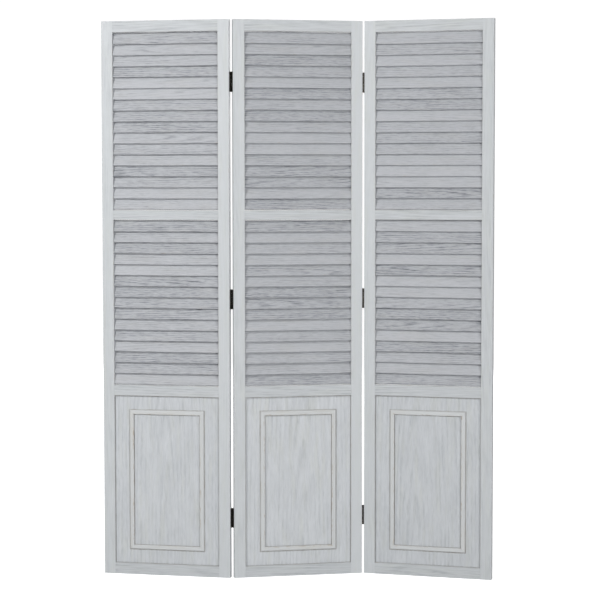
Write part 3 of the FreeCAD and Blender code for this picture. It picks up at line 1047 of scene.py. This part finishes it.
@dataclass
class RaisedBoard:
    """The flat board of one panel and the mouldings on its two faces.

    Fields:
        place: where the panel stands.
        moulding_width: width of a moulding strip.
        edge: rounding of the board's hidden edges.
        glaze_and_shade_reach, glaze_and_shade_fade: how far glaze and painted shade spread from a crevice, and
        their power of distance.
        seat: how deep the moulding's underside is let into the board.
        mitre_gap: opening of the mitre joints.
        step, easing: the outer step's share of the rise, and the easing of its corner.
        inner_round: radius of the moulding's inner edge.
        stations: number of stations along a strip.
    """

    place: PanelPlace
    moulding_width: float = 14 * MILLIMETRE
    edge: float = 0.5 * MILLIMETRE
    glaze_and_shade_reach: float = 2.6 * MILLIMETRE
    glaze_and_shade_fade: float = 1.2
    seat: float = 0.15 * MILLIMETRE
    mitre_gap: float = 0.06 * MILLIMETRE
    step: float = 0.35
    easing: float = 0.3 * MILLIMETRE
    inner_round: float = 1.1 * MILLIMETRE
    stations: int = 16

    def outlines(self) -> list[Array]:
        """Return the half sides of the rectangles that the crevices run round.

        Returns:
            Those of the opening and of the moulding's outer and inner edges.
        """
        low, high = self.place.size_of("front_moulding")
        outer = (high - low)[[0, 2]] / 2
        top = self.place.size_of("lower_mid_rail")[0][2]
        bottom = self.place.size_of("bottom_rail")[1][2]
        opening = np.array([self.place.size_of("right_stile")[0][0], (top - bottom) / 2])
        return [opening, outer, outer - self.moulding_width]

    def board(self, number: int) -> Shell:
        """Return the board, with stations close beside every crevice.

        Args:
            number: the board's number, for the grain.

        Returns:
            The shell in the panel's axes. Its glaze and painted shade fall off with distance from a crevice.
        """
        low, high = self.place.size_of("board")
        size = high - low
        halves = self.outlines()
        offsets = np.array([-2, -1, -0.35, 0, 0.35, 1, 2]) * self.glaze_and_shade_reach
        stops = []
        for axis, side in enumerate(size[[0, 2]]):
            beside = np.concatenate([half[axis] + offsets for half in halves])
            plain = np.linspace(-0.9, 0.9, 11) * halves[2][axis]
            places = np.concatenate([beside, -beside, plain])
            stops.append(edge_stops(side, self.edge, self.edge, places))
        loop = section_loop(size[0], size[1], self.edge, stops[0], np.zeros(1))
        rings = end_rings(size[2], 0.0, 0.0, stops[1])
        shell = carried(loop, *rings, BOARD_TIMBER, number)
        near = np.min([ring_distance(shell.points[:, [1, 0]], half) for half in halves], axis=0)
        # Glaze and painted shade, darkest at the recess edges and the moulding's edges.
        shell.glaze_and_shade = np.clip(1 - near / self.glaze_and_shade_reach, 0, 1) ** self.glaze_and_shade_fade
        shell.arris[:] = 0
        return shell.placed(lying((low + high) / 2, Lie.UPRIGHT))

    def profile(self, rise: float) -> tuple[Array, Array, Array]:
        """Return the moulding's section from its outer edge inwards.

        A low step stands at the outer edge, a quarter round climbs from it to the flat crown,
        and the inner edge rounds over and drops steeply.

        Args:
            rise: height of the crown over the board.

        Returns:
            (n, 2) distances from the outer edge and heights, (n,) rounded edges, (n,) glaze and painted shade.
        """
        width, fall = self.moulding_width, self.inner_round
        low, ledge, bead = self.step * rise, 0.07 * width, 0.24 * width
        turn = np.linspace(0, math.pi / 2, 5)
        sine, cosine = np.sin(turn), np.cos(turn)
        step = [(0, -self.seat), (0, low - self.easing), (self.easing, low), (ledge, low)]
        climb = np.stack([ledge + bead * (1 - cosine), low + (rise - low) * sine], 1)[1:]
        drop = np.stack([width - fall + fall * sine, rise - fall + fall * cosine], 1)
        foot = [(width, 0.6 * MILLIMETRE), (width, -self.seat)]
        points = np.concatenate([step, climb, drop, foot])
        crown = len(step) + len(climb)
        arris = np.zeros(len(points))
        arris[[1, 2, *range(crown, crown + 4)]] = 1.0
        # Glaze and painted shade at the moulding's foot and in the corner of its step.
        glaze_and_shade = (points[:, 1] < 0.2 * rise).astype(float)
        glaze_and_shade[len(step) - 1] = 1.0
        return points, arris, glaze_and_shade

    def moulding(self, face: Face, number: int) -> list[Shell]:
        """Return the four mitred strips of one face.

        A strip's end at share s from -1 to 1 is s times the half run less the distance in from
        the outer edge, so both ends are cut at 45 degrees. The profile is carried along it.

        Args:
            face: front or back.
            number: number of the first strip, for the grain.

        Returns:
            The strips' shells in the panel's axes.
        """
        low, high = self.place.size_of(f"{face.name.lower()}_moulding")
        board_low, board_high = self.place.size_of("board")
        surface = board_low[1] if face is Face.FRONT else board_high[1]
        rise = surface - low[1] if face is Face.FRONT else high[1] - surface
        middle = (low + high) / 2
        origin = np.array([middle[0], surface, middle[2]])
        section, arris, glaze_and_shade = self.profile(float(rise))
        inward, height = section.T
        share = np.linspace(-1, 1, self.stations)
        quads, caps = (corners[:, ::-1] for corners in skin(len(share), len(section)))
        smooth = np.tile((arris > 0) & (np.roll(arris, -1) > 0), len(share) - 1)
        arris, glaze_and_shade = np.tile(arris, len(share)), np.tile(glaze_and_shade, len(share))
        shells = []
        for quarter in range(4):
            half_run, half_other = np.roll((high - low)[[0, 2]] / 2, quarter)
            along = share[:, None] * (half_run - self.mitre_gap - inward)
            across = np.broadcast_to(inward - half_other, along.shape)
            out = np.broadcast_to(height, along.shape)
            points = np.stack([along, across, out], 2).reshape(-1, 3)
            wood, tone = MOULDING_TIMBER.grain(number + quarter, points)
            shell = Shell(points, quads, smooth, caps, wood, arris, glaze_and_shade, tone)
            angle = quarter * math.pi / 2
            cosine, sine = math.cos(angle), math.sin(angle)
            axes = np.array([(cosine, 0, sine), (-sine, 0, cosine), (0, face.value, 0)])
            shells.append(shell.placed(Spot(origin, axes * (-face.value, 1, 1))))
        return shells

    def build(self, number: int) -> None:
        """Make the board and both mouldings.

        Args:
            number: number of the first length, for the grain.
        """
        show("board", [self.board(number)], self.place, BOARD_WASH)
        for face in Face:
            strips = self.moulding(face, number * 10 + face.value)
            show(f"{face.name.lower()}_moulding", strips, self.place, MOULDING_WASH)


@dataclass
class Hardware:
    """The CAD pieces that keep their own shape: hinges, screws and dowels.

    Fields:
        steel: finish of leaves and pins.
        screws: finish of the screws.
        dowels: finish of the dowels.
    """

    steel: DarkBronze = DarkBronze("hinge_bronze")
    screws: DarkBronze = DarkBronze("screw_bronze", rubbed=(0.22, 0.19, 0.145))
    dowels: BareBeech = BareBeech("dowel_beech")

    def dress(self) -> None:
        """Give every CAD node that stays in view its material."""
        for name, node in frame["nodes"].items():
            if node.hide_render:
                continue
            finish = self.steel if "hinge" in name else self.dowels
            if "screws" in name:
                finish = self.screws
            node.data.materials.clear()
            node.data.materials.append(finish.material)
            log.info("%s: %s", name, finish.material.name)


@dataclass(frozen=True)
class Softbox:
    """One rectangular soft light.

    Fields:
        name: its name.
        power: its power in watts.
        spot: where it hangs, in metres.
        aim: what it points at.
        size: its width and height.
    """

    name: str
    power: float
    spot: tuple[float, float, float]
    aim: tuple[float, float, float]
    size: tuple[float, float]

    def hang(self) -> None:
        """Put the light in the scene, hidden from the camera itself."""
        light = bpy.data.lights.new(self.name, "AREA")
        light.shape = "RECTANGLE"
        light.size, light.size_y = self.size
        light.energy = self.power
        lamp = bpy.data.objects.new(self.name, light)
        lamp.location = self.spot
        aim = Vector(self.aim) - Vector(self.spot)
        lamp.rotation_euler = aim.to_track_quat("-Z", "Y").to_euler()
        lamp.visible_camera = False
        bpy.context.scene.collection.objects.link(lamp)


@dataclass
class Studio:
    """Plain pale floor, white surround, soft lights and the camera.

    Fields:
        focal_length, sensor: the camera's lens and its sensor's width, in millimetres.
        stand: where the camera stands, in metres.
        pitch, yaw, roll: how far it looks down and to the right and leans over, in degrees.
        surround, surround_seen: strength of the surround as a light, and as seen.
        softboxes: key from the upper left, wide fill from the front, and a fill for the back.
        floor_reach: half the floor's side, in metres.
        floor_paint, floor_glow: the floor as a light, and the white added to it as seen.
    """

    focal_length: float = 114.34
    sensor: float = 36.0
    stand: tuple[float, float, float] = (0.0048, -5.8048, 1.208)
    pitch: float = 3.52
    yaw: float = 0.047
    roll: float = -0.046
    surround: float = 0.35
    surround_seen: float = 1.05
    softboxes: tuple[Softbox, ...] = (
        Softbox("key", 90.0, (-2.45, -2.8, 2.78), (0.0, 0.0, 1.0), (0.9, 0.9)),
        Softbox("front_fill", 238.0, (3.8, -6.8, 1.6), (0.0, 0.0, 0.9), (3.0, 2.2)),
        Softbox("back_fill", 235.0, (0.8, 6.0, 2.6), (0.0, 0.0, 0.9), (4.0, 3.0)),
    )
    floor_reach: float = 60.0
    floor_paint: Colour = (0.7, 0.7, 0.7)
    floor_glow: float = 0.8

    def camera(self) -> None:
        """Set up the camera: heading, then look down, then roll about the line of sight."""
        data = bpy.data.cameras.new("view")
        data.lens = self.focal_length
        data.sensor_width = self.sensor
        camera = bpy.data.objects.new("view", data)
        heading = Matrix.Rotation(-math.radians(self.yaw), 4, "Z")
        look = Matrix.Rotation(math.radians(90 - self.pitch), 4, "X")
        roll = Matrix.Rotation(math.radians(self.roll), 4, "Z")
        camera.matrix_world = Matrix.Translation(self.stand) @ heading @ look @ roll
        bpy.context.scene.collection.objects.link(camera)
        bpy.context.scene.camera = camera

    def floor(self) -> None:
        """Lay a wide pale floor."""
        reach = self.floor_reach
        corners = [(-reach, -reach, 0), (reach, -reach, 0), (reach, reach, 0), (-reach, reach, 0)]
        mesh = bpy.data.meshes.new("studio_floor")
        mesh.from_pydata(corners, [], [(0, 1, 2, 3)])
        floor = bpy.data.objects.new("studio_floor", mesh)
        bpy.context.scene.collection.objects.link(floor)
        sheet = NodeSheet("studio_floor")
        bump = sheet.bump(sheet.noise(sheet.spot(), (1.0, 1.0, 1.0), 3.0, 0.55), 0.05, 0.0005)
        seen = sheet.add("LightPath", {}).outputs["Is Camera Ray"]
        glow = sheet.maths("MULTIPLY", seen, self.floor_glow)
        light = {"Emission_Color": opaque((1.0, 1.0, 1.0)), "Emission_Strength": glow}
        mesh.materials.append(sheet.finish(opaque(self.floor_paint), 0.9, bump, **light))

    def surroundings(self) -> None:
        """Make the surround plain white and hang the lights.

        The surround is white to the eye and dimmer as a light, so that the wood isn't burnt out.
        """
        world = bpy.data.worlds.new("studio")
        world.use_nodes = True
        nodes, links = world.node_tree.nodes, world.node_tree.links
        seen = nodes.new("ShaderNodeLightPath").outputs["Is Camera Ray"]
        strength = nodes.new("ShaderNodeMapRange")
        strength.inputs["To Min"].default_value = self.surround
        strength.inputs["To Max"].default_value = self.surround_seen
        links.new(seen, strength.inputs["Value"])
        nodes["Background"].inputs["Color"].default_value = (1, 1, 1, 1)
        links.new(strength.outputs["Result"], nodes["Background"].inputs["Strength"])
        bpy.context.scene.world = world
        for softbox in self.softboxes:
            softbox.hang()
        bpy.context.scene.view_settings.view_transform = "Standard"

    def build(self) -> None:
        """Set up camera, floor and lights."""
        self.camera()
        self.floor()
        self.surroundings()


def main() -> None:
    """Build the screen's looks panel by panel, then the hardware and the studio."""
    logging.basicConfig(level=logging.INFO, format="%(message)s")
    for order, place in enumerate(Stance().places()):
        turn = math.degrees(place.turn)
        log.info("%s panel at %s, turned %.2f degrees", place.name, place.foot, turn)
        Framework(place).build(10 * order)
        Louvre(place, "upper", 16).build(100 * order)
        Louvre(place, "lower", 15).build(100 * order + 50)
        RaisedBoard(place).build(3 + order)
    Hardware().dress()
    Studio().build()


if __name__ == "__main__":
    main()
